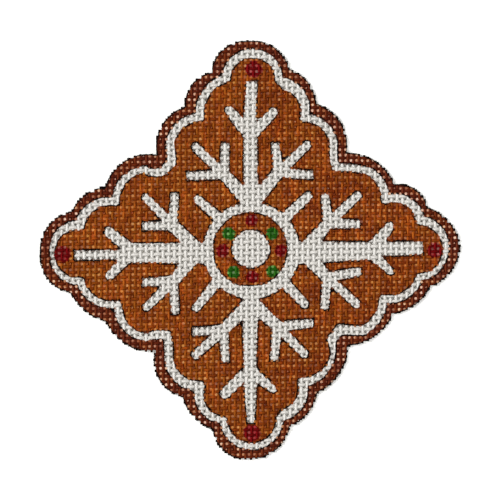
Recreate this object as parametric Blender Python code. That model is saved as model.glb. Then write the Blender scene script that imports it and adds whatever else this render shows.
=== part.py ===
"""A needlepoint canvas, painted as a gingerbread cookie and cut out round its scalloped edge.

The canvas is one stiff sheet of woven cotton. It lies flat, painted side up, on the XY plane, with the middle
of its outline's box on the Z axis. The single threads and the holes between them, well under a millimetre wide,
are not modelled here: the solid is the sheet that they make, out to the line along which it was cut.
"""

import math

import bmesh
import bpy
from mathutils import Matrix, Vector

# Driving dimensions, in metres.
THREADS_PER_INCH = 18
INCH = 0.0254
PITCH = INCH / THREADS_PER_INCH  # from the middle of one thread to the next
THREAD_HEIGHT = 0.00038  # a thread, pressed flat by the size that stiffens the canvas
WARP_RISE = 0.00011  # the upright threads run nearly straight
WEFT_RISE = 0.00026  # the crossing threads bend over and under them
THICKNESS = max(2 * max(WARP_RISE, WEFT_RISE) + THREAD_HEIGHT, WARP_RISE + WEFT_RISE + THREAD_HEIGHT)

# The cut line, anticlockwise from the right tip, counted in threads from the middle of the painted snowflake.
# Each entry is a corner and how far the scallop from it to the next corner stands out from the straight line
# between them. A tip is two scallops that meet smoothly.
CUT_LINE = [
    (37.6, 1.1, 1.2),
    (31.8, 7.7, 1.4),
    (25.9, 11.8, 1.6),
    (17.2, 17.5, 2.0),
    (11.8, 26.3, 1.2),
    (7.1, 32.4, 1.9),
    (-1.1, 37.5, 1.6),
    (-7.0, 31.9, 1.5),
    (-11.7, 25.7, 2.0),
    (-16.7, 17.1, 2.2),
    (-26.0, 11.3, 1.1),
    (-31.9, 7.1, 1.8),
    (-37.7, -0.4, 1.8),
    (-32.2, -7.7, 0.9),
    (-25.9, -12.8, 1.6),
    (-17.2, -18.2, 1.9),
    (-12.1, -26.4, 1.0),
    (-6.8, -32.1, 1.7),
    (-0.3, -37.5, 1.7),
    (7.1, -31.6, 1.0),
    (12.0, -25.6, 1.4),
    (17.6, -17.1, 1.4),
    (25.6, -11.4, 1.0),
    (32.2, -6.6, 1.5),
]
SCALLOP_STEP = 1.0  # threads from one point of a scallop to the next

# The look of the painted cloth, as linear colour.
GINGERBREAD_BROWN = (0.223, 0.048, 0.010, 1.0)
MATT_PAINT_ROUGHNESS = 0.75


def clear_scene():
    for obj in list(bpy.data.objects):
        bpy.data.objects.remove(obj, do_unlink=True)


def scallop(start, end, bulge):
    """Points along the arc from start up to, but without, end. The arc bulges to the right of the way it runs."""
    half = (end - start) / 2
    outward = Vector((half.y, -half.x)).normalized()
    turn = 2 * math.atan2(bulge, half.length)
    radius = half.length / math.sin(turn)
    centre = (start + end) / 2 + outward * (bulge - radius)
    steps = max(2, round(2 * radius * turn / SCALLOP_STEP))
    return [
        centre + Matrix.Rotation(turn * (2 * step / steps - 1), 2) @ outward * radius
        for step in range(steps)
    ]


def cut_line_points():
    """The cut line in metres, with the middle of its box at the origin."""
    corners = [Vector(entry[:2]) for entry in CUT_LINE]
    points = []
    for index, (_, _, bulge) in enumerate(CUT_LINE):
        points += scallop(corners[index], corners[(index + 1) % len(corners)], bulge)
    low, high = (Vector((pick(p.x for p in points), pick(p.y for p in points))) for pick in (min, max))
    middle = (low + high) / 2
    return [(point - middle) * PITCH for point in points]


def canvas_mesh():
    bm = bmesh.new()
    underside = bm.faces.new([bm.verts.new((point.x, point.y, 0.0)) for point in cut_line_points()])
    lifted = bmesh.ops.extrude_face_region(bm, geom=[underside])["geom"]
    upper_points = [part for part in lifted if isinstance(part, bmesh.types.BMVert)]
    bmesh.ops.translate(bm, verts=upper_points, vec=(0.0, 0.0, THICKNESS))
    bmesh.ops.recalc_face_normals(bm, faces=bm.faces)
    mesh = bpy.data.meshes.new("canvas")
    bm.to_mesh(mesh)
    bm.free()
    mesh.shade_smooth()
    mesh.set_sharp_from_angle(angle=math.radians(40))
    return mesh


def painted_cotton():
    material = bpy.data.materials.new("painted_cotton")
    material.use_nodes = True
    shader = material.node_tree.nodes["Principled BSDF"]
    shader.inputs["Base Color"].default_value = GINGERBREAD_BROWN
    shader.inputs["Roughness"].default_value = MATT_PAINT_ROUGHNESS
    shader.inputs["Metallic"].default_value = 0.0
    return material


def main():
    clear_scene()
    canvas = bpy.data.objects.new("canvas", canvas_mesh())
    canvas.data.materials.append(painted_cotton())
    bpy.context.scene.collection.objects.link(canvas)


main()
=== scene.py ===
"""The looks of a needlepoint canvas that is painted as a gingerbread cookie.

The real thing is an open sheet of sized cotton: upright threads, the warp, cross over and under lying ones,
the weft, eighteen of each to the inch. It was painted by hand with acrylic, first the brown cookie and its
darker rim, then white icing drawn as a snowflake, red and green sweets and a thin dark line along the icing.
Last it was cut out round the rim, so that every thread ends in a short stub. So the scene weaves each thread
as a tube of its own that ends at the cut line, bridges the holes with the films that paint leaves in them,
and colours both by how deep a point lies inside each painted shape.

Painted shapes are given in threads, from the middle of the snowflake, with y up the canvas.
"""

import math
from functools import partial

import bpy
import numpy as np
from bpy.props import FloatProperty, FloatVectorProperty, IntProperty, PointerProperty
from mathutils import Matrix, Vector


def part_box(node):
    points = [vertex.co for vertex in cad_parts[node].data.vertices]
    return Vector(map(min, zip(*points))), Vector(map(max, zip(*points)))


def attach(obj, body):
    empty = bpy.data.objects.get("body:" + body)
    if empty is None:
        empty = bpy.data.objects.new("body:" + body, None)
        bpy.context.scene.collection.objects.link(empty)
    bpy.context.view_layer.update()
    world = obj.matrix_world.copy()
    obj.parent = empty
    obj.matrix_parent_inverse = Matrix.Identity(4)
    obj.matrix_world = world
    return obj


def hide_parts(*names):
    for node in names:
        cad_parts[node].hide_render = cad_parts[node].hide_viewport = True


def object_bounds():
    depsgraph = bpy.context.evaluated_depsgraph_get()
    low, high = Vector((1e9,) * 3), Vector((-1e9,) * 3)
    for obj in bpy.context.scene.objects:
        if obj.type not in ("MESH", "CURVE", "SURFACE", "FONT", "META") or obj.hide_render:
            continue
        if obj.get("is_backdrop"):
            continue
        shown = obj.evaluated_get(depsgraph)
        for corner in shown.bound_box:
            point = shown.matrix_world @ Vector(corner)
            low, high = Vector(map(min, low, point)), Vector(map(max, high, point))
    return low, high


bl_info = {
    "name": "Painted needlepoint canvas",
    "version": (1, 0, 0),
    "blender": (4, 5, 0),
    "location": "3D View > Sidebar > Canvas",
    "description": "Weaves, paints and lights a needlepoint canvas cut out as a gingerbread cookie",
    "category": "Add Mesh",
}

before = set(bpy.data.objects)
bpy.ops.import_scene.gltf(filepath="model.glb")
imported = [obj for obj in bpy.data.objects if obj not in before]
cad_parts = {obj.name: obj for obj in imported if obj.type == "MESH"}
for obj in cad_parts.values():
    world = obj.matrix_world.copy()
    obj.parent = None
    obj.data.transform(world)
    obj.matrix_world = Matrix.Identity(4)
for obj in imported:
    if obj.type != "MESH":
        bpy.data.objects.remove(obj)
CAD_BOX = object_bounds()
NODE = "canvas"
BODY = "root"

# The weave, in metres.
MM = 0.001
INCH = 0.0254
THREADS_PER_INCH = 18
PITCH = INCH / THREADS_PER_INCH  # from the middle of one thread to the next
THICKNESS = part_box(NODE)[1].z

# Where the snowflake's middle lies, in threads from the middle of the cut-out.
SNOWFLAKE_X = 0.065
SNOWFLAKE_Y = -0.060

# How far the threads stray from an even grid, in threads: a shift, and then what x, y, xx, xy and yy add,
# each counted in STRAY_REACH threads from the middle. Canvas skews a little as it is handled and cut.
WARP_STRAY = (0.41, -0.08, 0.15, -0.24, 0.23, -0.06)
WEFT_STRAY = (-0.465, 0.345, -0.17, -0.09, -0.26, 0.18)
STRAY_REACH = 30.0
OUTERMOST_THREAD = 40  # more than any thread of the cut-out, counted from the middle

# The icing's border, anticlockwise. Each entry is a point of its centre line, how far the scallop from there
# to the next point stands out, and the brush stroke's width there. A scallop needs some bulge, as an arc
# without any has no middle, so a nearly straight stretch has 0.1.
BORDER = [
    (30.4, 5.4, 1.7, 1.5),
    (24.2, 9.1, 0.8, 1.4),
    (21.2, 14.2, 0.2, 1.2),
    (15.3, 14.8, -0.2, 1.2),
    (14.9, 18.4, 1.6, 1.3),
    (9.6, 23.7, 1.35, 1.3),
    (6.6, 29.6, 0.1, 2.0),
    (5.1, 30.5, 1.05, 1.1),
    (1.5, 35.1, 1.7, 1.5),
    (-4.4, 30.8, 1.5, 1.4),
    (-9.0, 23.8, 1.4, 1.3),
    (-14.4, 18.8, -0.1, 1.4),
    (-14.1, 15.7, 0.1, 1.5),
    (-15.4, 14.2, -0.4, 1.4),
    (-18.9, 14.5, 1.5, 1.1),
    (-24.1, 8.7, 1.6, 1.2),
    (-30.6, 4.4, 1.75, 1.6),
    (-35.4, -0.7, 1.6, 0.7),
    (-30.4, -5.5, 1.6, 1.2),
    (-23.7, -9.6, 1.6, 1.2),
    (-18.5, -15.6, -0.3, 1.3),
    (-14.9, -15.2, -0.1, 1.4),
    (-14.6, -19.1, 1.6, 1.4),
    (-9.0, -24.3, 1.8, 1.6),
    (-4.8, -30.4, 4.9, 1.1),
    (5.3, -30.0, 0.1, 1.1),
    (6.1, -29.4, 1.3, 1.8),
    (9.3, -23.6, 1.3, 1.5),
    (14.8, -18.6, 0.1, 0.6),
    (14.5, -15.9, 0.1, 1.4),
    (16.0, -14.1, 0.1, 1.6),
    (20.4, -14.3, 0.8, 1.5),
    (23.8, -8.7, 1.4, 1.3),
    (30.3, -4.8, 0.7, 1.1),
    (34.5, -1.9, 2.15, 0.8),
]
BORDER_STEP = 0.6  # threads from one point of a scallop to the next

# The snowflake's brush strokes, as start, end, and the width at each. No two are quite alike, as a hand made
# them.
ARMS = [
    ((0.2, 29.3), (-0.2, 21.4), 1.9, 2.2),
    ((0.0, 22.3), (0.1, 8.2), 2.3, 2.5),
    ((0.0, -7.8), (-0.1, -22.9), 2.8, 2.1),
    ((0.0, -22.2), (0.1, -30.2), 2.4, 1.3),
    ((-30.6, -0.9), (-22.0, -0.7), 1.6, 1.6),
    ((-21.2, -0.5), (-8.5, -0.5), 3.4, 3.6),
    ((8.6, -0.4), (21.6, -0.1), 3.8, 3.1),
    ((21.8, 0.2), (29.7, 0.4), 2.4, 2.3),
]
TWIGS = [
    ((-3.7, 25.0), (-1.2, 22.0), 1.5, 2.0),
    ((4.1, 24.7), (1.0, 21.5), 1.5, 1.9),
    ((-25.3, 3.3), (-21.5, 0.2), 1.7, 1.9),
    ((-25.2, -4.5), (-22.6, -1.9), 1.4, 1.7),
    ((24.9, 4.3), (22.6, 1.1), 1.4, 2.4),
    ((25.1, -3.8), (22.3, -1.1), 1.1, 1.9),
    ((-4.5, -25.6), (-1.4, -22.5), 1.7, 2.0),
    ((4.0, -24.8), (0.9, -22.3), 1.2, 2.0),
]
SPOKES = [
    ((-9.4, 9.1), (-5.4, 5.5), 1.4, 1.7),
    ((10.3, 9.7), (6.2, 5.8), 1.5, 1.8),
    ((-9.7, -10.3), (-6.2, -5.9), 1.3, 1.8),
    ((9.7, -9.6), (5.9, -5.6), 1.4, 1.9),
]
# Each three-toed branch is the ends of its slanting, upright and lying toes, the joint where they meet, and
# the end of the stem that carries it to an arm.
BRANCHES = [
    ((-9.8, 18.5), (-4.5, 18.5), (-10.7, 13.3), (-4.7, 13.6), (-1.0, 9.5)),
    ((10.1, 18.8), (4.5, 18.5), (10.5, 13.5), (5.0, 13.9), (1.3, 9.5)),
    ((-18.7, 9.4), (-13.6, 9.5), (-18.6, 4.3), (-13.9, 4.5), (-10.3, 0.9)),
    ((19.2, 9.8), (13.4, 9.4), (19.0, 4.7), (13.9, 4.8), (10.9, 1.4)),
    ((-18.5, -10.1), (-13.5, -10.7), (-18.6, -5.7), (-13.8, -5.5), (-10.8, -1.9)),
    ((19.0, -9.6), (13.3, -9.9), (19.1, -3.9), (13.7, -4.8), (11.0, -1.9)),
    ((-9.8, -18.7), (-4.5, -19.3), (-9.6, -14.55), (-4.8, -14.2), (-1.0, -10.4)),
    ((9.6, -18.5), (4.3, -19.0), (10.5, -13.1), (4.8, -13.6), (0.8, -9.9)),
]
TOE_WIDTHS = (1.4, 1.6)  # at the tip and at the joint
STEM_WIDTHS = (1.9, 2.4)  # at the joint and at the arm

# Round the snowflake's middle, each as the x and y of its middle and its radius: a ring of icing, a little
# wider at the lower right, and a disc, with sweets on the brown between them, and one in each tip of the
# cookie.
RING_OUTSIDE = (0.2, -0.05, 8.6)
RING_INSIDE = (-0.05, 0.15, 6.75)
DISC = (0.07, 0.25, 3.32)
# Radii of the sweets.
SMALL_SWEET = 1.16
RIGHT_TIP_SWEET = 1.35
TIP_SWEET = 1.54
RED_SWEETS = [
    (0.14, 5.37, SMALL_SWEET),
    (5.42, 0.0, SMALL_SWEET),
    (0.4, -4.75, SMALL_SWEET),
    (-5.01, 0.0, SMALL_SWEET),
    (0.63, 32.4, TIP_SWEET),
    (33.0, 0.0, RIGHT_TIP_SWEET),
    (0.27, -32.7, TIP_SWEET),
    (-33.6, -0.72, TIP_SWEET),
]
GREEN_SWEETS = [
    (-3.82, 3.0, SMALL_SWEET),
    (3.9, 3.01, SMALL_SWEET),
    (-3.06, -3.9, SMALL_SWEET),
    (4.01, -3.79, SMALL_SWEET),
]

# What is stored at each point of the mesh: how many threads deep it lies inside each painted shape, and how
# thin the paint is there, from 0 on an upright thread to 1 where a film is thinnest. Below 0 it is thicker.
# The material also paints light and shade by it: shade on the lying threads, where it is below 0, and on a
# film, shade in its hollow and light in its middle.
PAINT_DEPTHS = ("cut_depth", "face_depth", "icing_depth", "red_depth", "green_depth")
THINNESS = "paint_thinness"

# How the threads are drawn. Lengths along them are in threads.
SIDES = 7  # of a thread
CROSSING_REACH = 0.25  # a thread lies level this far to each side of a crossing
SHORTEST_RUN = 1.6  # a shorter snippet isn't held by the weave, and falls out
LOOK_STEP = 0.2  # between the places where a line is looked at to find its cuts
END_MARGIN = 0.1  # between a thread's end and its next ring, at least
MOST_UNEVEN = 0.2  # the most by which a thread is thicker or thinner than it should be, as a share
CUT_BULGE = 0.05 * MM  # how far the middle of a cut end stands out
THREAD_MAP = "Thread"  # millimetres along a thread, and the share of the way round it

# The map for baking. Each thread has a strip of a column, and each film a square.
BAKE_MAP = "OFBake"
STRIP_GAP = 0.4  # threads between two threads in a column
STRIP_MARGIN = 0.06  # between a thread and the sides of its column, as a share of the column
UPPER_SIDE, LOWER_SIDE = 0.25, 0.75  # where the middles of a film's two sides lie across its square
SIDE_WIDTH, SIDE_HEIGHT = 0.22, 0.44  # from the middle of a side to its edge
RIM, RING, WALL, MIDDLE = 1.0, 0.5, 0.2, 0.0  # how far out on its side each part of a film lies

# How the paint that bridges a hole is drawn: a film with eight points round its rim, inside the threads, and
# eight round its opening. It sags from the threads like a drop's edge.
FILM_SIDES = 8
FILM_TO_SIDE = 0.37  # from the middle of the hole, in threads
FILM_TO_CORNER = 0.53
FILM_LIFT = 0.16 * MM  # of its rim over the middle of the canvas
FILM_SAG = 0.08 * MM  # of its opening under its rim
FILM_THICKNESS = 0.05 * MM
CLOSED_RING = 0.21  # radius of the inner ring of a film without an opening, in threads
THIN_MIDDLE_SHIFT = (0.14, -0.03)  # how far the thin middle of a closed film, with its palest painted light, lies from the middle of the hole
SMALLEST_OPENING = 0.05  # a smaller one closes
WIDEST_OPENING = 0.3
RAGGED_OPENING = 0.07  # how much the ring differs from a round one
SHALLOWEST_FILM = 0.12  # how deep inside the cut line the middle of a hole lies where its film holds
SHALLOWEST_ICING = 0.1  # how deep in the icing the middle of a hole lies where its film is icing
CUT_SHRINKS_RIM = 1.4  # how much more a cut draws in a film's rim than the ring of its opening
NEARLY_NOTHING = 1e-6  # stands in for a depth of 0 in a division

# What the nodes' sockets are called by number.
MIX_FACTOR, MIX_A, MIX_B, MIX_RESULT = 0, 6, 7, 2

# The canvas's finish: matt acrylic, brushed on by hand over sized cotton.
PAINTED_CANVAS = "brushed_acrylic_on_cotton_canvas"

# The patterns in it: how large each is in millimetres, how many finer layers it has, and then between which
# of its values it changes, and from what to what. Brush marks are as wide as a thread or a few. Real fibres
# are 0.02 mm thick and real plies lie about 0.5 mm apart along a thread. Both are too fine to show, and are
# drawn coarser.
PATTERNS = {
    "brush": (1.6, 2.0),  # how a stroke's edge wavers
    "bristles": (0.6, 1.0),  # the same, finer
    "mottle": (4.0, 4.0, 0.3, 0.7, 0.0, 1.0),  # patches of the brown
    "streaks": (1.3, 2.0, 0.45, 0.75, 0.0, 1.0),  # brighter strokes on it, partly painted highlights along the upright threads
    "rim_mottle": (5.0, 2.0, 0.4, 0.7, 0.0, 0.6),  # patches of the rim
    "dry_brush": (2.2, 2.0, 0.34, 0.5, 0.0, 1.0),  # where the dark line is unbroken
    "patchy_glow": (2.2, 3.0, 0.35, 0.65, 0.3, -0.1),  # how much thicker the films are in places, and so how much less painted light glows through them
    "glow_and_highlight": (1.5, 1.0, 0.4, 0.65, 0.4, 2.0),  # how many times as much pale ground shows through them: a painted glow of light from below and a painted highlight
    "sheen": (0.5, 2.0, 0.3, 0.7, 0.62, 0.82),  # roughness
    "fibres": (0.12, 3.0),
}
GRAININESS = 0.6  # how strong each finer layer of a pattern is, next to the one before
STREAK_SQUEEZE = (1.0, 0.3, 1.0)  # draws the streaks out along y
TWIST = 1.3  # millimetres along a thread from one ply to the next
PLIES = 3.0  # that lie round it
TWIST_SHARE = 0.35  # how much the twist shows next to the fibres
RELIEF = 0.04 * MM  # how high plies and fibres stand
BUMP_SHARE = 0.8  # how much of that relief shows
ACRYLIC_IOR = 1.48
SHEEN_LEFT = 0.05  # nearly no highlight, as fibres and filler scatter it

# Where paints meet, in threads.
BRUSH_STRAY = 0.3  # how far a stroke's edge wavers to and fro
DAB_STRAY = 2.5  # a sweet is a quick dab, and wavers this many times as far
ICING_SKIP = 0.15  # how far the icing draws back over the middle of a hole
PAINT_EDGE = 0.1  # half the width over which one paint blends into the next
SWEET_EDGE = 0.12  # the same at a sweet
ICING_EDGE = 0.06  # and at the icing, the crispest
LINE_DEPTHS = (-0.34, -0.28)  # how deep in the icing its dark line starts, and is full
EDGE_LINE_DEPTHS = (0.36, 0.2)  # the same inside the cut line, for the dark line along it
UNEVEN_REACH = 0.03  # metres to each side over which the brown changes from left to right
LESS_TOASTED = (0.25, -0.1)  # on the left and on the right

# How thick the paint lies, with the painted light and shade that go with it. The first three are between
# which values of the thinness a film changes.
FILM_EDGE = (0.05, 0.3)  # from thread to film, which is painted on both sides
POOL_AND_HOLLOW = (0.1, 0.4)  # from a thread's one coat to the pool beside it, which is also painted shade in the hollow
MIDDLE_OF_FILM = (0.6, 0.95)  # from the pool to the thin middle, which is painted light shining up through it
POOLED_COAT_AND_SHADE = 1.35  # coats in the pool, darker both as pooled paint and as painted shade
LINE_SKIPS_FROM = 0.3  # thinness from which the dark line thins out over a hole
LINE_OVER_HOLES = 0.35  # how much of it is left in the middle
SHADED_SIDE_SLOPE = 0.55  # how far a side faces right where its painted shade is darkest
PAINT_WRAPS = (-0.55, -0.25)  # how far up a side faces where paint running round a thread ends, and is full

# The studio, in metres: each light's name, which setting its power is, and where it hangs.
LIGHTS = (
    ("key_light", "key_power", (-1.6, 0.55, 1.2)),
    ("right_fill", "fill_power", (1.5, -0.5, 1.1)),
    ("upper_fill", "fill_power", (0.3, 1.6, 1.1)),
    ("lower_fill", "fill_power", (-0.3, -1.6, 1.1)),
)
LIGHT_WIDTH = 1.2
FLOOR_REACH = 1.5  # from its middle to each side
FLOOR_DROP = 0.02 * MM  # the floor lies this far below the canvas, so that the two don't touch
PAPER_ROUGHNESS = 0.9
LENS, SENSOR = 180.0, 36.0  # millimetres
PICTURE_WIDTH, THREAD_SPACING = 500, 5.59  # pixels
VIEW_WIDTH = PICTURE_WIDTH / THREAD_SPACING * PITCH  # what the picture shows of the canvas, in metres


def linear(hex_colour):
    """A colour of six hex digits, as the eye sees it, turned to linear light."""
    shares = [int(hex_colour[at : at + 2], 16) / 255 for at in (1, 3, 5)]
    return tuple(s / 12.92 if s <= 0.04045 else ((s + 0.055) / 1.055) ** 2.4 for s in shares) + (1.0,)


def share_of(name, default, most, description):
    """A setting that is a share of something."""
    return FloatProperty(
        name=name,
        description=description,
        default=default,
        min=0.0,
        max=most,
        subtype="FACTOR",
    )


def colour_of(name, hex_colour, description):
    """A setting that is a colour."""
    return FloatVectorProperty(
        name=name,
        description=description,
        default=linear(hex_colour),
        size=4,
        min=0.0,
        max=1.0,
        subtype="COLOR",
    )


class WeaveSettings(bpy.types.PropertyGroup):
    """Sizes of the threads and how evenly they lie."""

    thread_width: FloatProperty(
        name="Thread width",
        description="Width of a thread as it lies pressed in the weave",
        default=0.00067,
        min=0.0002,
        max=0.0012,
        precision=5,
        unit="LENGTH",
    )
    thread_height: FloatProperty(
        name="Thread height",
        description="Height of a thread as it lies pressed in the weave",
        default=0.00044,
        min=0.0001,
        max=0.0006,
        precision=5,
        unit="LENGTH",
    )
    pressed: share_of(
        "Pressed", 0.27, 0.6, "How far crossing threads are pressed together, as a share of their height"
    )
    wander: share_of(
        "Wander", 0.02, 0.2, "How far a crossing strays from its place, as a share of the thread spacing"
    )
    thick_and_thin: share_of("Thick and thin", 0.04, 0.3, "How much the threads differ in thickness")
    stub_scatter: share_of(
        "Stub scatter", 0.08, 0.5, "How far the cut ends miss the cut line, as a share of the thread spacing"
    )
    seed: IntProperty(
        name="Seed",
        description="Changes every random draw of the weave",
        default=18,
        min=0,
    )


class PaintSettings(bpy.types.PropertyGroup):
    """Colours of the paint, how thick it lies, how far it fills the holes, and the painted light and shade
    over the holes and threads.
    """

    icing_opening: share_of(
        "Icing openings", 0.27, 0.3, "Radius left open in the icing's holes, as a share of the thread spacing"
    )
    gingerbread_opening: share_of(
        "Gingerbread openings",
        0.03,
        0.3,
        "Radius left open in the face's holes, as a share of the thread spacing",
    )
    rim_opening: share_of(
        "Rim openings", 0.03, 0.3, "Radius left open in the rim's holes, as a share of the thread spacing"
    )
    opening_scatter: share_of(
        "Opening scatter", 0.025, 1.0, "How much the openings differ, as a share of the thread spacing"
    )
    # Painted light: the lower the two below, the paler the films of the face and the rim glow with light from
    # below.
    thin_glowing_gingerbread: share_of(
        "Thin gingerbread",
        0.58,
        1.0,
        "How thick the face's paint is over a hole, as a share of that on a thread",
    )
    thin_glowing_rim: share_of(
        "Thin rim", 0.28, 1.0, "How thick the rim's paint is over a hole, as a share of that on a thread"
    )
    # Painted light: a glow from the paper below and a highlight on the thinnest brown and sweets.
    glow_and_highlight: share_of("Haze", 0.04, 1.0, "How much pale ground shows through the thinnest brown")
    glow_and_highlight_of_sweets: share_of(
        "Haze of the sweets", 0.07, 1.0, "How much pale ground shows through the thinnest red and green"
    )
    # Painted shade on the lying threads.
    lying_thread_shade: share_of(
        "Coat on lying threads", 0.18, 1.0, "How much thicker paint is on lying threads than on upright ones"
    )
    # Painted shade on the sides that face right.
    right_side_shade: share_of(
        "Coat on far sides", 0.24, 1.0, "How much thicker paint is on the sides that the brush reached last"
    )
    # Painted shade: the icing round a hole is dulled by the dim hole beneath.
    thin_shaded_icing: FloatProperty(
        name="Thin icing",
        description="How dull the thin icing round a hole is, as a power of its colour; 1 is as on a thread",
        default=1.2,
        min=1.0,
        max=4.0,
    )
    gingerbread: colour_of("Gingerbread", "#82450E", "The brown of the cookie")
    toasted: colour_of("Toasted", "#6F3008", "The redder brown that the brush left in patches")
    # Partly a painted highlight along the upright threads.
    streaks: colour_of("Streaks", "#9F5015", "The brighter brown of single brush streaks")
    rim: colour_of("Rim", "#5A2411", "The darker brown outside the icing's border")
    icing: colour_of("Icing", "#CBC8C3", "The white of the icing")
    outline: colour_of("Outline", "#140602", "The thin dark line along the icing and the cut edge")
    red: colour_of("Red sweets", "#680307", "The red of the sweets")
    green: colour_of("Green sweets", "#265813", "The green of the sweets")
    cotton: colour_of("Cotton", "#CFC8B8", "The bare cotton of the underside")


class StageSettings(bpy.types.PropertyGroup):
    """Colour of the floor and power of the lights."""

    floor: colour_of("Floor", "#FAFAF8", "The pale studio paper")
    key_power: FloatProperty(
        name="Key light",
        description="Power of the large soft light at the left",
        default=49.0,
        min=0.0,
        unit="POWER",
    )
    fill_power: FloatProperty(
        name="Fill light",
        description="Power of each of the three weaker soft lights on the other sides",
        default=17.5,
        min=0.0,
        unit="POWER",
    )
    room_light: FloatProperty(
        name="Room light",
        description="Brightness of the light that comes from everywhere",
        default=0.175,
        min=0.0,
    )


# Painted shapes


def scallop(start, end, bulge, step):
    """Points along the arc from start up to, but without, end. The arc bulges to the right of its way."""
    half = (end - start) / 2
    outward = np.array((half[1], -half[0])) / np.hypot(*half)
    turn = 2 * math.atan2(bulge, np.hypot(*half))
    radius = np.hypot(*half) / math.sin(turn)
    centre = (start + end) / 2 + outward * (bulge - radius)
    steps = max(2, round(abs(2 * radius * turn) / step))
    angles = turn * (2 * np.arange(steps) / steps - 1)
    cosine, sine = np.cos(angles)[:, None], np.sin(angles)[:, None]
    across = np.array((-outward[1], outward[0]))
    return centre + radius * (cosine * outward + sine * across)


def border_strokes():
    """The icing's border as short strokes, each with its width at both ends."""
    points, widths = [], []
    for index, (x, y, bulge, width) in enumerate(BORDER):
        next_x, next_y, _, next_width = BORDER[(index + 1) % len(BORDER)]
        arc = scallop(np.array((x, y)), np.array((next_x, next_y)), bulge, BORDER_STEP)
        points.append(arc)
        widths.append(np.linspace(width, next_width, len(arc), endpoint=False))
    points, widths = np.concatenate(points), np.concatenate(widths)
    return list(zip(points, np.roll(points, -1, axis=0), widths, np.roll(widths, -1)))


def snowflake_strokes():
    """The snowflake's strokes that end round, and then those that run along the threads and end square."""
    round_ended, square_ended = TWIGS + SPOKES, list(ARMS)
    for slanting, upright, lying, joint, stem_end in BRANCHES:
        round_ended = round_ended + [(slanting, joint, *TOE_WIDTHS), (joint, stem_end, *STEM_WIDTHS)]
        square_ended += [(toe, joint, *TOE_WIDTHS) for toe in (upright, lying)]
    return round_ended, square_ended


def depth_in_strokes(points, strokes, square=False):
    """How deep each point lies inside the strokes, and below zero how far outside. Both kinds of end reach
    half a width past the end point."""
    deepest = np.full(len(points), -np.inf)
    for start, end, start_width, end_width in strokes:
        start, reach = np.array(start), np.array(end) - np.array(start)
        along = np.clip((points - start) @ reach / (reach @ reach), 0.0, 1.0)
        offset = points - start - along[:, None] * reach
        distance = np.max(np.abs(offset), axis=1) if square else np.linalg.norm(offset, axis=1)
        half_width = (start_width + along * (end_width - start_width)) / 2
        deepest = np.maximum(deepest, half_width - distance)
    return deepest


def depth_in_rounds(points, rounds):
    """How deep each point lies inside the discs, given as x, y and radius."""
    return np.max([radius - np.hypot(*(points - (x, y)).T) for x, y, radius in rounds], axis=0)


def depth_in_outline(points, outline):
    """How deep each point lies inside a closed outline, and below zero how far outside."""
    sides = list(zip(outline, np.roll(outline, -1, axis=0)))
    depth = -depth_in_strokes(points, [(start, end, 0.0, 0.0) for start, end in sides])
    inside = np.zeros(len(points), bool)
    x, y = points.T
    for (x0, y0), (x1, y1) in sides:
        if y0 != y1:
            inside ^= ((y0 > y) != (y1 > y)) & (x < x0 + (y - y0) * (x1 - x0) / (y1 - y0))
    return np.where(inside, depth, -depth)


def to_threads(places):
    """Places in metres, as threads from the snowflake's middle."""
    return places / PITCH - (SNOWFLAKE_X, SNOWFLAKE_Y)


def to_metres(points):
    """Points in threads from the snowflake's middle, as places in metres."""
    return (points + (SNOWFLAKE_X, SNOWFLAKE_Y)) * PITCH


def cut_line():
    """The outline along which the canvas was cut, in threads, walked round the underside of the CAD solid."""
    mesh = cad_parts[NODE].data
    spots = [tuple(round(value / MM, 4) for value in vertex.co) for vertex in mesh.vertices]
    sides = set()
    for face in mesh.polygons:
        corners = [spots[index] for index in face.vertices]
        if all(corner[2] == 0.0 for corner in corners):
            sides |= set(zip(corners, corners[1:] + corners[:1]))
    follows = {start: end for start, end in sides if (end, start) not in sides}
    spot = min(follows)
    walk = []
    while spot in follows:
        walk.append(spot[:2])
        spot = follows.pop(spot)
    if follows or len(walk) < 3:
        raise RuntimeError("the underside of the CAD solid isn't one outline")
    return to_threads(np.array(walk) * MM)


def paint_depths(points):
    """For each point, how deep it lies in each painted shape, by the names in PAINT_DEPTHS."""
    border = border_strokes()
    round_ended, square_ended = snowflake_strokes()
    icing = [
        depth_in_strokes(points, border + round_ended),
        depth_in_strokes(points, square_ended, square=True),
        depth_in_rounds(points, [DISC]),
        np.minimum(depth_in_rounds(points, [RING_OUTSIDE]), -depth_in_rounds(points, [RING_INSIDE])),
    ]
    depths = (
        depth_in_outline(points, cut_line()),
        depth_in_outline(points, np.array([start for start, *_ in border])),
        np.max(icing, axis=0),
        depth_in_rounds(points, RED_SWEETS),
        depth_in_rounds(points, GREEN_SWEETS),
    )
    return dict(zip(PAINT_DEPTHS, depths))


# The weave


def stray(terms, warp, weft):
    """How far a thread strays from the even grid where warp crosses weft."""
    u, v = warp / STRAY_REACH, weft / STRAY_REACH
    return sum(term * value for term, value in zip(terms, (1.0, u, v, u * u, u * v, v * v)))


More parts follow.
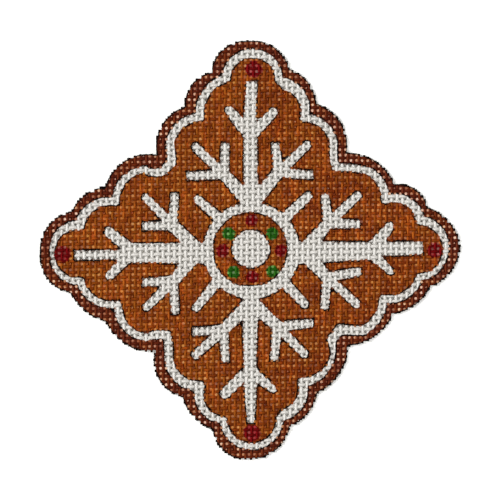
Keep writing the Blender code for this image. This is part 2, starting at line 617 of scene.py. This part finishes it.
class Weave:
    """Where the threads of this canvas cross."""

    def __init__(self, settings):
        self.settings = settings
        self.random = np.random.default_rng(settings.seed)
        count = 2 * OUTERMOST_THREAD + 2
        self.wander = self.random.normal(0.0, settings.wander, (count, count, 2))
        self.weft_rise = (THICKNESS - settings.thread_height) / 2
        self.warp_rise = settings.thread_height * (1.0 - settings.pressed) - self.weft_rise

    def place(self, warp, weft):
        """Where upright thread number warp crosses lying thread number weft, in threads. Numbers between
        whole ones give places between the crossings."""
        first_warp, first_weft = np.floor(warp).astype(int), np.floor(weft).astype(int)
        row, column = first_warp + OUTERMOST_THREAD, first_weft + OUTERMOST_THREAD
        wander = 0.0
        for warp_side in (0, 1):
            for weft_side in (0, 1):
                share = self.nearness(warp - first_warp, warp_side)
                share = share * self.nearness(weft - first_weft, weft_side)
                wander = wander + share[..., None] * self.wander[row + warp_side, column + weft_side]
        x = warp + stray(WARP_STRAY, warp, weft)
        y = weft + stray(WEFT_STRAY, warp, weft)
        return np.stack((x, y), axis=-1) + wander

    @staticmethod
    def nearness(past, side):
        """How much the crossing on that side counts at a place that is past the first one by this share."""
        eased = past * past * (3 - 2 * past)
        return eased if side else 1 - eased

    def along(self, is_warp, number, position):
        """The place at a position along one thread."""
        across = np.full(np.shape(position), float(number))
        return self.place(across, position) if is_warp else self.place(position, across)

    def height(self, is_warp, number, position):
        """The height of a thread's middle over the table: level over each crossing, and sloping between."""
        rise = self.warp_rise if is_warp else self.weft_rise
        crossing = np.floor(position + 0.5)
        past = position - crossing
        over = np.where((crossing + number) % 2 == 0, 1.0, -1.0) * (1.0 if is_warp else -1.0)
        slope = (np.abs(past) - CROSSING_REACH) / (0.5 - CROSSING_REACH)
        return THICKNESS / 2 + rise * over * (1.0 - np.clip(slope, 0.0, 1.0))

    def runs(self):
        """Each stretch of thread inside the cut line: whether it is warp, its number, its start, its end."""
        reach = OUTERMOST_THREAD - 1
        numbers = np.arange(-reach, reach + 1)
        positions = np.arange(-reach, reach, LOOK_STEP)
        lines = [(is_warp, number) for is_warp in (True, False) for number in numbers]
        places = np.array([self.along(is_warp, number, positions) for is_warp, number in lines])
        depths = depth_in_outline(places.reshape(-1, 2), cut_line()).reshape(len(lines), -1)
        found = []
        for (is_warp, number), depth in zip(lines, depths):
            turns = np.flatnonzero(np.diff(depth > 0))
            cuts = positions[turns] + LOOK_STEP * depth[turns] / (depth[turns] - depth[turns + 1])
            for start, end in zip(cuts[::2], cuts[1::2]):
                scatter = self.random.uniform(-1, 1, 2) * self.settings.stub_scatter
                if end - start > SHORTEST_RUN:
                    found.append((is_warp, number, start + scatter[0], end + scatter[1]))
        if not found:
            raise RuntimeError("no thread lies inside the cut line")
        return found


def bake_columns(lengths, gap):
    """Where each thread goes on the bake map, which is cut in equal columns: its column and its start there,
    and then how many columns there are and how long they are."""
    longest = max(lengths) + gap
    filled, places = [], {}
    for index in sorted(range(len(lengths)), key=lambda i: -lengths[i]):
        need = lengths[index] + gap
        column = next((c for c, used in enumerate(filled) if used + need <= longest), len(filled))
        if column == len(filled):
            filled.append(0.0)
        places[index] = (column, filled[column])
        filled[column] += need
    return [places[index] for index in range(len(lengths))], len(filled), longest


class Shape:
    """Points and faces gathered for one mesh, with a place on both maps for each corner of each face."""

    def __init__(self):
        self.points, self.faces, self.thread_map, self.bake_map, self.thinness = [], [], [], [], []
        self.count = 0

    def add(self, points, faces, thread_map, bake_map, thinness):
        """Adds one thread or film. Its faces count its points from 0."""
        self.points.append(points)
        self.thinness.append(thinness)
        self.faces += [[index + self.count for index in face] for face in faces]
        self.thread_map.append(thread_map)
        self.bake_map.append(bake_map)
        self.count += len(points)

    def make(self, name, material):
        """The finished piece, with its paint depths stored at its points."""
        points = np.concatenate(self.points)
        mesh = bpy.data.meshes.new(name)
        mesh.from_pydata(points.tolist(), [], self.faces)
        for map_name, corners in ((THREAD_MAP, self.thread_map), (BAKE_MAP, self.bake_map)):
            layer = mesh.uv_layers.new(name=map_name)
            layer.data.foreach_set("uv", np.concatenate(corners).astype(np.float32).ravel())
        stored = paint_depths(to_threads(points[:, :2]))
        stored[THINNESS] = np.concatenate(self.thinness)
        for stored_name, values in stored.items():
            attribute = mesh.attributes.new(stored_name, "FLOAT", "POINT")
            attribute.data.foreach_set("value", values.astype(np.float32))
        mesh.shade_smooth()
        mesh.materials.append(material)
        piece = bpy.data.objects.new(name, mesh)
        bpy.context.scene.collection.objects.link(piece)
        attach(piece, BODY)
        return piece


def tube(centres, half_widths, half_heights, sides, cap_reach):
    """Points and faces of a closed tube round the centres, and for each face corner its ring and its share of
    the way round. The last two points are the middles of the caps."""
    rings = len(centres)
    tangents = np.gradient(centres, axis=0)
    tangents /= np.linalg.norm(tangents, axis=1)[:, None]
    sideways = np.cross((0.0, 0.0, 1.0), tangents)
    sideways /= np.linalg.norm(sideways, axis=1)[:, None]
    upwards = np.cross(tangents, sideways)
    angles = 2 * np.pi * np.arange(sides) / sides
    round_the_ring = (
        np.cos(angles)[None, :, None] * (sideways * half_widths[:, None])[:, None, :]
        + np.sin(angles)[None, :, None] * (upwards * half_heights[:, None])[:, None, :]
    )
    points = (centres[:, None, :] + round_the_ring).reshape(-1, 3)
    caps = np.array((centres[0] - tangents[0] * cap_reach, centres[-1] + tangents[-1] * cap_reach))
    faces, corners = [], []
    for ring in range(rings - 1):
        here, ahead = ring * sides, (ring + 1) * sides
        for side in range(sides):
            beside = (side + 1) % sides
            faces.append((here + side, here + beside, ahead + beside, ahead + side))
            corners += [(ring, side), (ring, side + 1), (ring + 1, side + 1), (ring + 1, side)]
    first, last = rings * sides, (rings - 1) * sides
    for side in range(sides):
        beside = (side + 1) % sides
        faces.append((first, beside, side))
        corners += [(-0.5, side + 0.5), (0, side + 1), (0, side)]
        faces.append((first + 1, last + side, last + beside))
        corners += [(rings - 0.5, side + 0.5), (rings - 1, side), (rings - 1, side + 1)]
    corners = np.array(corners, float)
    corners[:, 1] /= sides
    return np.concatenate((points, caps)), faces, corners


def thread_points(weave, run):
    """Positions of a thread's rings, their centres in metres and how thick it is at each."""
    is_warp, number, start, end = run
    crossings = np.arange(math.floor(start), math.ceil(end) + 1)
    rings = np.sort(np.concatenate((crossings - CROSSING_REACH, crossings + CROSSING_REACH)))
    rings = rings[(rings > start + END_MARGIN) & (rings < end - END_MARGIN)]
    rings = np.concatenate(((start,), rings, (end,)))
    flat = to_metres(weave.along(is_warp, number, rings))
    centres = np.column_stack((flat, weave.height(is_warp, number, rings)))
    variety = weave.settings.thick_and_thin
    whole_thread = weave.random.normal(0.0, variety)
    uneven = weave.random.normal(0.0, variety, len(rings))
    uneven = (uneven + np.roll(uneven, 1)) / 2
    return rings, centres, 1.0 + np.clip(whole_thread + uneven, -MOST_UNEVEN, MOST_UNEVEN)


def hole_films(weave, paint):
    """The films of paint that bridge the holes: each one's rim and the ring round its opening, in threads,
    and whether it is closed, as it is where the opening would be too small to stay open."""
    reach = OUTERMOST_THREAD - 1
    numbers = np.arange(-reach, reach)
    warp, weft = (grid.ravel() for grid in np.meshgrid(numbers, numbers))
    depths = paint_depths(weave.place(warp + 0.5, weft + 0.5))
    opening = np.where(depths["face_depth"] > 0.0, paint.gingerbread_opening, paint.rim_opening)
    opening = np.where(depths["icing_depth"] > SHALLOWEST_ICING, paint.icing_opening, opening)
    opening = np.where(np.maximum(depths["red_depth"], depths["green_depth"]) > 0.0, 0.0, opening)
    opening = opening + paint.opening_scatter * weave.random.normal(0.0, 1.0, len(warp))
    bridged = depths["cut_depth"] > SHALLOWEST_FILM
    warp, weft, opening = warp[bridged], weft[bridged], np.minimum(opening[bridged], WIDEST_OPENING)
    closed = opening < SMALLEST_OPENING

    angles = 2 * np.pi * np.arange(FILM_SIDES) / FILM_SIDES
    directions = np.column_stack((np.cos(angles), np.sin(angles)))
    rim_radius = np.where(np.arange(FILM_SIDES) % 2 == 0, FILM_TO_SIDE, FILM_TO_CORNER)
    raggedness = weave.random.normal(1.0, RAGGED_OPENING, (len(warp), FILM_SIDES))
    ring_radius = np.where(closed, CLOSED_RING, opening)[:, None] * raggedness
    middles = np.column_stack((warp, weft))[:, None, :] + 0.5
    shifted_middles = middles + closed[:, None, None] * np.array(THIN_MIDDLE_SHIFT)
    rims = weave.place(*np.moveaxis(middles + directions * rim_radius[:, None], -1, 0))
    rings = weave.place(*np.moveaxis(shifted_middles + directions * ring_radius[..., None], -1, 0))

    # Where the scissors cut through a hole, its film ends at the cut.
    middles = weave.place(warp + 0.5, weft + 0.5)[:, None, :]
    middle_depth = depths["cut_depth"][bridged][:, None]
    rim_depth = depth_in_outline(rims.reshape(-1, 2), cut_line()).reshape(-1, FILM_SIDES)
    kept = np.clip(middle_depth / np.maximum(middle_depth - rim_depth, NEARLY_NOTHING), 0.0, 1.0)
    kept = np.where(rim_depth < 0.0, kept, 1.0)[..., None]
    rims = middles + (rims - middles) * kept
    rings = middles + (rings - middles) * np.clip(kept * CUT_SHRINKS_RIM, 0.0, 1.0)
    return rims, rings, closed


def film_pattern(closed):
    """Faces of a film, over the points of its rim, of the ring on its upper side and of the ring on its lower
    side, and the place of each face corner in the film's square of the bake map: the upper side on the left,
    with the wall of the opening inside it, and the lower side on the right."""
    faces, spots = [], []

    def add_face(middle, corners):
        for _, step, reach in corners:
            angle = 2 * math.pi * step / FILM_SIDES
            across = middle + SIDE_WIDTH * reach * math.cos(angle)
            spots.append((across, 0.5 + SIDE_HEIGHT * reach * math.sin(angle)))
        faces.append([point for point, _, _ in corners])

    upper_middle, lower_middle = 3 * FILM_SIDES, 3 * FILM_SIDES + 1
    for step in range(FILM_SIDES):
        beside = (step + 1) % FILM_SIDES
        rim, rim_beside = (step, step, RIM), (beside, step + 1, RIM)
        upper, lower = ((point, step, RING) for point in (step + FILM_SIDES, step + 2 * FILM_SIDES))
        upper_beside = (beside + FILM_SIDES, step + 1, RING)
        lower_beside = (beside + 2 * FILM_SIDES, step + 1, RING)
        add_face(UPPER_SIDE, (rim, rim_beside, upper_beside, upper))
        add_face(LOWER_SIDE, (rim_beside, rim, lower, lower_beside))
        if closed:
            add_face(UPPER_SIDE, (upper, upper_beside, (upper_middle, step, MIDDLE)))
            add_face(LOWER_SIDE, (lower_beside, lower, (lower_middle, step, MIDDLE)))
        else:
            wall = [(point, at, WALL) for point, at, _ in (lower_beside, lower)]
            add_face(UPPER_SIDE, (upper, upper_beside, *wall))
    return faces, np.array(spots)


# Materials


def add_node(tree, kind, inputs=(), output=0, **settings):
    """Adds a node with its settings and links, and gives back one of its outputs. inputs holds values and
    other nodes' outputs, in the order of the node's sockets or by their names or numbers."""
    node = tree.nodes.new(kind)
    for name, value in settings.items():
        setattr(node, name, value)
    for socket, value in inputs.items() if isinstance(inputs, dict) else enumerate(inputs):
        if isinstance(value, bpy.types.NodeSocket):
            tree.links.new(value, node.inputs[socket])
        else:
            node.inputs[socket].default_value = value
    return node.outputs[output] if node.outputs else None


def painted_cotton_canvas(paint):
    """Sized cotton canvas, brushed by hand with acrylic. To the eye it is matt and a little uneven in colour,
    crisp where one paint meets the next along a thread and paler where paint bridges a hole. That paleness is
    painted light shining up through the films, with a painted highlight. Painted shade darkens the lying
    threads, the sides that face right, the hollows round the holes and the icing round them. The twist of the
    plies still shows through, and the underside is bare cotton."""
    material = bpy.data.materials.new(PAINTED_CANVAS)
    material.use_nodes = True
    tree = material.node_tree
    tree.nodes.clear()
    add = partial(add_node, tree)
    eased = {"interpolation_type": "SMOOTHSTEP"}
    mixed = {"output": MIX_RESULT, "data_type": "RGBA"}

    place = add("ShaderNodeTexCoord", output="Object")
    x = add("ShaderNodeSeparateXYZ", (place,), "X")
    normal = add("ShaderNodeNewGeometry", output="Normal")
    facing_right = add("ShaderNodeSeparateXYZ", (normal,), "X")
    facing_up = add("ShaderNodeSeparateXYZ", (normal,), "Z")
    depth = {
        name: add("ShaderNodeAttribute", output="Fac", attribute_name=name, attribute_type="GEOMETRY")
        for name in (*PAINT_DEPTHS, THINNESS)
    }
    thinness = depth.pop(THINNESS)
    drawn_upright = add("ShaderNodeVectorMath", (place, STREAK_SQUEEZE), operation="MULTIPLY")
    pattern = {}
    for name, (size, detail, *spread) in PATTERNS.items():
        where = drawn_upright if name == "streaks" else place
        sockets = {"Vector": where, "Scale": 1.0 / (size * MM), "Detail": detail, "Roughness": GRAININESS}
        pattern[name] = add("ShaderNodeTexNoise", sockets, "Fac")
        if spread:
            pattern[name] = add("ShaderNodeMapRange", (pattern[name], *spread), **eased)

    # The brush strays by part of a thread, and every paint strays alike where two meet. The icing draws back
    # a little from the middle of a hole.
    to_and_fro = (BRUSH_STRAY, -BRUSH_STRAY / 2)
    brush = add("ShaderNodeMath", (pattern["brush"], *to_and_fro), operation="MULTIPLY_ADD")
    bristles = add("ShaderNodeMath", (pattern["bristles"], *to_and_fro), operation="MULTIPLY_ADD")
    strayed = add("ShaderNodeMath", (brush, bristles), operation="ADD")
    icing = add("ShaderNodeMath", (thinness, -ICING_SKIP, depth["icing_depth"]), operation="MULTIPLY_ADD")
    icing = add("ShaderNodeMath", (icing, strayed), operation="ADD")
    green = add("ShaderNodeMath", (strayed, DAB_STRAY, depth["green_depth"]), operation="MULTIPLY_ADD")
    red = add("ShaderNodeMath", (strayed, DAB_STRAY, depth["red_depth"]), operation="MULTIPLY_ADD")
    cut_edge = add("ShaderNodeMath", (depth["cut_depth"], brush), operation="ADD")

    # The brown is mottled between two colours, less toasted and so lighter towards the left, with brighter
    # streaks up the canvas that are partly painted highlights along the upright threads, and the rim is
    # mottled too.
    leftward = add("ShaderNodeMapRange", (x, -UNEVEN_REACH, UNEVEN_REACH, *LESS_TOASTED), **eased)
    toasting = add("ShaderNodeMath", (pattern["mottle"], leftward), operation="ADD")
    browns = {MIX_FACTOR: toasting, MIX_A: paint.toasted, MIX_B: paint.gingerbread}
    brown = add("ShaderNodeMix", browns, **mixed)
    browns = {MIX_FACTOR: pattern["streaks"], MIX_A: brown, MIX_B: paint.streaks}
    brown = add("ShaderNodeMix", browns, **mixed)
    rims = {MIX_FACTOR: pattern["rim_mottle"], MIX_A: paint.rim, MIX_B: paint.toasted}
    colour = add("ShaderNodeMix", rims, **mixed)

    # A fine dark line follows the icing, broken where the brush ran dry and where it skipped a hole.
    skipped = add("ShaderNodeMapRange", (thinness, 1.0, LINE_SKIPS_FROM, LINE_OVER_HOLES, 1.0), **eased)
    unbroken = add("ShaderNodeMath", (pattern["dry_brush"], skipped), operation="MULTIPLY")
    line = add("ShaderNodeMapRange", (icing, *LINE_DEPTHS, 0.0, 1.0), **eased)
    line = add("ShaderNodeMath", (line, unbroken), operation="MULTIPLY")

    # Each coat of paint covers the one before it.
    face = add("ShaderNodeMapRange", (depth["face_depth"], -PAINT_EDGE, PAINT_EDGE, 0.0, 1.0), **eased)
    green = add("ShaderNodeMapRange", (green, -SWEET_EDGE, SWEET_EDGE, 0.0, 1.0), **eased)
    edge_line = add("ShaderNodeMapRange", (cut_edge, *EDGE_LINE_DEPTHS, 0.0, 1.0), **eased)
    iced = add("ShaderNodeMapRange", (icing, -ICING_EDGE, ICING_EDGE, 0.0, 1.0), **eased)
    red = add("ShaderNodeMapRange", (red, -SWEET_EDGE, SWEET_EDGE, 0.0, 1.0), **eased)
    for share, coat in (
        (face, brown),
        (green, paint.green),
        (line, paint.outline),
        (edge_line, paint.outline),
        (iced, paint.icing),
        (red, paint.red),
    ):
        colour = add("ShaderNodeMix", {MIX_FACTOR: share, MIX_A: colour, MIX_B: coat}, **mixed)

    # Each coat takes its share out of the light again, so how thick paint lies is a power of its colour. It
    # pools along the threads round a hole, and is thin over the middle of it. The darker pool is also painted
    # shade in the hollow, the paler middle of a brown film is painted light shining up through it, and the
    # dulled icing round a hole is painted shade.
    films = (depth["face_depth"], -PAINT_EDGE, PAINT_EDGE, paint.thin_glowing_rim, paint.thin_glowing_gingerbread)
    film = add("ShaderNodeMapRange", films, **eased)
    film = add("ShaderNodeMath", (film, pattern["patchy_glow"]), operation="ADD")
    film = add("ShaderNodeMapRange", (icing, -ICING_EDGE, ICING_EDGE, film, paint.thin_shaded_icing), **eased)
    film = add("ShaderNodeMapRange", (thinness, *MIDDLE_OF_FILM, 1.0, film), **eased)
    pool_and_hollow_shade = add("ShaderNodeMapRange", (thinness, *POOL_AND_HOLLOW, 1.0, POOLED_COAT_AND_SHADE), **eased)
    thickness = add("ShaderNodeMath", (pool_and_hollow_shade, film), operation="MULTIPLY")

    # Painted shade: the lying threads are drawn darker than the upright ones, and so are the sides that face
    # right, away from the key light.
    # Below 0 the thinness marks a lying thread, and becomes its painted shade.
    lying = add("ShaderNodeMath", (thinness, 0.0), operation="MINIMUM")
    lying = add("ShaderNodeMath", (1.0, lying), operation="SUBTRACT")
    full_slope = (0.0, SHADED_SIDE_SLOPE, 1.0, 1.0 + paint.right_side_shade)
    right_side_darkening = add("ShaderNodeMapRange", (facing_right, *full_slope), **eased)
    side_and_lying_shade = add("ShaderNodeMath", (lying, right_side_darkening), operation="MULTIPLY")
    thickness = add("ShaderNodeMath", (thickness, side_and_lying_shade), operation="MULTIPLY")
    colour = add("ShaderNodeGamma", (colour, thickness))

    # A little of the pale ground shows through the thinnest paint: a painted glow of the light from below,
    # with a painted highlight on the films.
    sweet = add("ShaderNodeMath", (depth["red_depth"], depth["green_depth"]), operation="MAXIMUM")
    glows_and_highlights = (sweet, -PAINT_EDGE, PAINT_EDGE, paint.glow_and_highlight, paint.glow_and_highlight_of_sweets)
    glow_and_highlight = add("ShaderNodeMapRange", glows_and_highlights, **eased)
    glow_and_highlight = add("ShaderNodeMath", (glow_and_highlight, pattern["glow_and_highlight"]), operation="MULTIPLY")
    glow_and_highlight = add("ShaderNodeMapRange", (thinness, *MIDDLE_OF_FILM, 0.0, glow_and_highlight), **eased)
    colour = add("ShaderNodeMix", {MIX_FACTOR: glow_and_highlight, MIX_A: colour, MIX_B: paint.cotton}, **mixed)

    # Paint is brushed on from above: of the underside, it reaches only its own films.
    from_above = add("ShaderNodeMapRange", (facing_up, *PAINT_WRAPS, 0.0, 1.0), **eased)
    on_film = add("ShaderNodeMapRange", (thinness, *FILM_EDGE, 0.0, 1.0), **eased)
    painted = add("ShaderNodeMath", (from_above, on_film), operation="MAXIMUM")
    colour = add("ShaderNodeMix", {MIX_FACTOR: painted, MIX_A: paint.cotton, MIX_B: colour}, **mixed)

    # The plies lie round the thread as a screw's threads do, with fibres all over them.
    thread_map = add("ShaderNodeUVMap", uv_map=THREAD_MAP)
    along_mm = add("ShaderNodeSeparateXYZ", (thread_map,), "X")
    share_round = add("ShaderNodeSeparateXYZ", (thread_map,), "Y")
    turns = add("ShaderNodeMath", (along_mm, TWIST), operation="DIVIDE")
    turns = add("ShaderNodeMath", (share_round, PLIES, turns), operation="MULTIPLY_ADD")
    angle = add("ShaderNodeMath", (turns, 2 * math.pi), operation="MULTIPLY")
    twist = add("ShaderNodeMath", (angle,), operation="SINE")
    relief = add("ShaderNodeMath", (twist, TWIST_SHARE, pattern["fibres"]), operation="MULTIPLY_ADD")
    bump = add("ShaderNodeBump", {"Strength": BUMP_SHARE, "Distance": RELIEF, "Height": relief})
    surface = {
        "Base Color": colour,
        "Roughness": pattern["sheen"],
        "IOR": ACRYLIC_IOR,
        "Specular IOR Level": SHEEN_LEFT,
        "Normal": bump,
    }
    shader = add("ShaderNodeBsdfPrincipled", surface)
    add("ShaderNodeOutputMaterial", {"Surface": shader})
    return material


def studio_paper(stage):
    """Matt white studio paper. Its tooth is too fine to show, so to the eye it is one even pale colour."""
    material = bpy.data.materials.new("matt_studio_paper")
    material.use_nodes = True
    shader = material.node_tree.nodes["Principled BSDF"]
    shader.inputs["Base Color"].default_value = stage.floor
    shader.inputs["Roughness"].default_value = PAPER_ROUGHNESS
    return material


def canvas_material(context):
    """The one material of the whole canvas, made when it is first asked for."""
    return bpy.data.materials.get(PAINTED_CANVAS) or painted_cotton_canvas(context.scene.canvas_paint)


# Operators


class CANVAS_OT_bridge_holes(bpy.types.Operator):
    """Bridge the holes between the threads with films of paint"""

    bl_idname = "canvas.bridge_holes"
    bl_label = "Bridge Holes"

    def execute(self, context):
        weave = Weave(context.scene.canvas_weave)
        rims, rings, closed = hole_films(weave, context.scene.canvas_paint)
        columns = math.ceil(math.sqrt(len(rims)))
        patterns = {is_closed: film_pattern(is_closed) for is_closed in (False, True)}
        levels = (0.0, -FILM_SAG, -FILM_SAG - FILM_THICKNESS)
        shape = Shape()
        for index, (rim, ring, is_closed) in enumerate(zip(rims, rings, closed)):
            faces, bake_map = patterns[bool(is_closed)]
            heights = THICKNESS / 2 + FILM_LIFT + np.repeat(levels, FILM_SIDES)
            flat = np.concatenate((rim, ring, ring))
            if is_closed:
                flat = np.concatenate((flat, [ring.mean(axis=0)] * 2))
                heights = np.concatenate((heights, heights[[FILM_SIDES, 2 * FILM_SIDES]]))
            points = np.column_stack((to_metres(flat), heights))
            cell = np.array((index % columns, index // columns))
            thinness = np.ones(len(points))
            thinness[:FILM_SIDES] = 0.0
            shape.add(points, faces, np.zeros_like(bake_map), (cell + bake_map) / columns, thinness)
        films = shape.make("paint_films", canvas_material(context))
        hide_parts(NODE)
        return {"FINISHED"}


class CANVAS_OT_weave_threads(bpy.types.Operator):
    """Weave the canvas thread by thread out to its cut line"""

    bl_idname = "canvas.weave_threads"
    bl_label = "Weave Threads"

    def execute(self, context):
        settings = context.scene.canvas_weave
        weave = Weave(settings)
        runs = weave.runs()
        threads = [thread_points(weave, run) for run in runs]
        lengths = [rings[-1] - rings[0] for rings, _, _ in threads]
        places, columns, longest = bake_columns(lengths, STRIP_GAP)
        shape = Shape()
        for (is_warp, *_), (rings, centres, thickness), (column, above) in zip(runs, threads, places):
            half_width = settings.thread_width / 2 * thickness
            half_height = settings.thread_height / 2 * np.minimum(thickness, 1.0)
            points, faces, corners = tube(centres, half_width, half_height, SIDES, CUT_BULGE)
            position = np.interp(corners[:, 0], np.arange(len(rings)), rings - rings[0])
            thread_map = np.column_stack((position * PITCH / MM, corners[:, 1]))
            across = (column + STRIP_MARGIN + (1 - 2 * STRIP_MARGIN) * corners[:, 1]) / columns
            bake_map = np.column_stack((across, (above + STRIP_GAP / 2 + position) / longest))
            # A lying thread's thinness below 0 becomes its painted shade in the material.
            thinness = 0.0 if is_warp else -context.scene.canvas_paint.lying_thread_shade
            shape.add(points, faces, thread_map, bake_map, np.full(len(points), thinness))
        threads_piece = shape.make("woven_threads", canvas_material(context))
        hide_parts(NODE)
        x, y = to_metres(cut_line()).T
        return {"FINISHED"}


class CANVAS_OT_set_stage(bpy.types.Operator):
    """Lay the canvas on pale paper under soft light, with the camera straight above it"""

    bl_idname = "canvas.set_stage"
    bl_label = "Set Stage"

    def execute(self, context):
        stage = context.scene.canvas_stage
        scene = context.scene
        scene.view_settings.view_transform = "Standard"

        reach = FLOOR_REACH
        corners = [(-reach, -reach, 0.0), (reach, -reach, 0.0), (reach, reach, 0.0), (-reach, reach, 0.0)]
        mesh = bpy.data.meshes.new("studio_floor")
        mesh.from_pydata(corners, [], [(0, 1, 2, 3)])
        mesh.materials.append(studio_paper(stage))
        floor = bpy.data.objects.new("studio_floor", mesh)
        floor.location.z = -FLOOR_DROP
        scene.collection.objects.link(floor)
        floor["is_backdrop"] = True

        for name, power, place in LIGHTS:
            light = bpy.data.lights.new(name, "AREA")
            light.shape = "DISK"
            light.size = LIGHT_WIDTH
            light.energy = getattr(stage, power)
            lamp = bpy.data.objects.new(name, light)
            lamp.location = place
            lamp.rotation_euler = (-Vector(place)).to_track_quat("-Z", "Y").to_euler()
            scene.collection.objects.link(lamp)

        scene.world = bpy.data.worlds.new("soft_room")
        scene.world.use_nodes = True
        background = scene.world.node_tree.nodes["Background"]
        background.inputs["Color"].default_value = linear("#FFFFFF")
        background.inputs["Strength"].default_value = stage.room_light

        camera_data = bpy.data.cameras.new("camera")
        camera_data.lens = LENS
        camera_data.sensor_width = SENSOR
        camera = bpy.data.objects.new("camera", camera_data)
        camera.location = (0.0, 0.0, THICKNESS + VIEW_WIDTH * LENS / SENSOR)
        scene.collection.objects.link(camera)
        scene.camera = camera
        return {"FINISHED"}


class CANVAS_PT_sidebar(bpy.types.Panel):
    """Sizes, colours and steps of the painted canvas"""

    bl_label = "Painted Canvas"
    bl_space_type = "VIEW_3D"
    bl_region_type = "UI"
    bl_category = "Canvas"

    def draw(self, context):
        for group in SETTINGS:
            settings = getattr(context.scene, group)
            box = self.layout.box()
            for name in settings.__annotations__:
                box.prop(settings, name)
        for operator in OPERATORS:
            self.layout.operator(operator.bl_idname)


SETTINGS = {"canvas_weave": WeaveSettings, "canvas_paint": PaintSettings, "canvas_stage": StageSettings}
OPERATORS = (CANVAS_OT_bridge_holes, CANVAS_OT_weave_threads, CANVAS_OT_set_stage)


def register():
    """Registers the settings, the steps and the panel."""
    for name, group in SETTINGS.items():
        bpy.utils.register_class(group)
        setattr(bpy.types.Scene, name, PointerProperty(type=group))
    for operator in OPERATORS:
        bpy.utils.register_class(operator)
    bpy.utils.register_class(CANVAS_PT_sidebar)


def unregister():
    """Takes them out again."""
    bpy.utils.unregister_class(CANVAS_PT_sidebar)
    for operator in reversed(OPERATORS):
        bpy.utils.unregister_class(operator)
    for name, group in SETTINGS.items():
        delattr(bpy.types.Scene, name)
        bpy.utils.unregister_class(group)


def main():
    """Makes the pieces and the stage, and gathers how far the solid and the pieces reach."""
    register()
    bpy.ops.canvas.bridge_holes()
    bpy.ops.canvas.weave_threads()
    bpy.ops.canvas.set_stage()
    boxes = {"cad": CAD_BOX, "visual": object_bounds()}
    {name: [list(corner) for corner in box] for name, box in boxes.items()}


if __name__ == "__main__":
    main()
